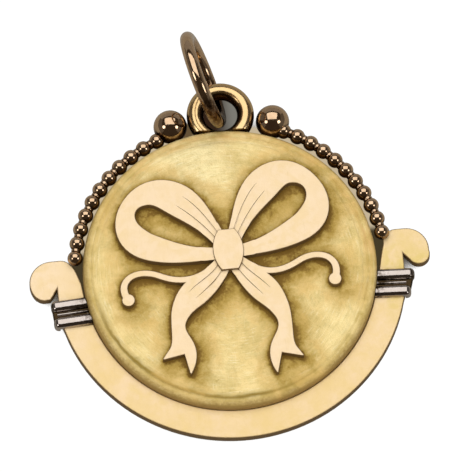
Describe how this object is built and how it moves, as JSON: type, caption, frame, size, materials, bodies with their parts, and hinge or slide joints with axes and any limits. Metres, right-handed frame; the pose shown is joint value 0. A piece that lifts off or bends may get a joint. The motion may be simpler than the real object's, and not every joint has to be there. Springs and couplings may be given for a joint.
{
  "type": "round pendant with crescent and ribbon bow",
  "caption": "Round hollow gold pendant disc with a raised ribbon bow, set in an upturned crescent, with arcs of beads, an eyelet and a jump ring.",
  "frame": {"origin": "on the flat back face, under the centre of the round disc", "axes": "+Z comes out of the face with the bow, +Y points from the disc's centre to the eyelet at the top, +X is to the right seen from the face"},
  "size_m": [0.0339, 0.0355, 0.0086],
  "materials": {
    "matte_gold": "matte bloomed yellow gold with brown tarnish in the corners",
    "rose_gold": "satin-polished pale rose gold",
    "polished_gold": "polished rose gold",
    "white_metal": "polished grey-white metal"
  },
  "bodies": {
    "root": {"back_plate": "matte_gold", "disc": "matte_gold", "crescent": "rose_gold", "clamp_left": "white_metal", "clamp_right": "white_metal", "bead_row_left": "polished_gold", "bead_row_right": "polished_gold", "ball_left": "polished_gold", "ball_right": "polished_gold", "eyelet": "rose_gold", "jump_ring": "polished_gold", "ribbon_bow": "rose_gold"}
  },
  "joints": []
}
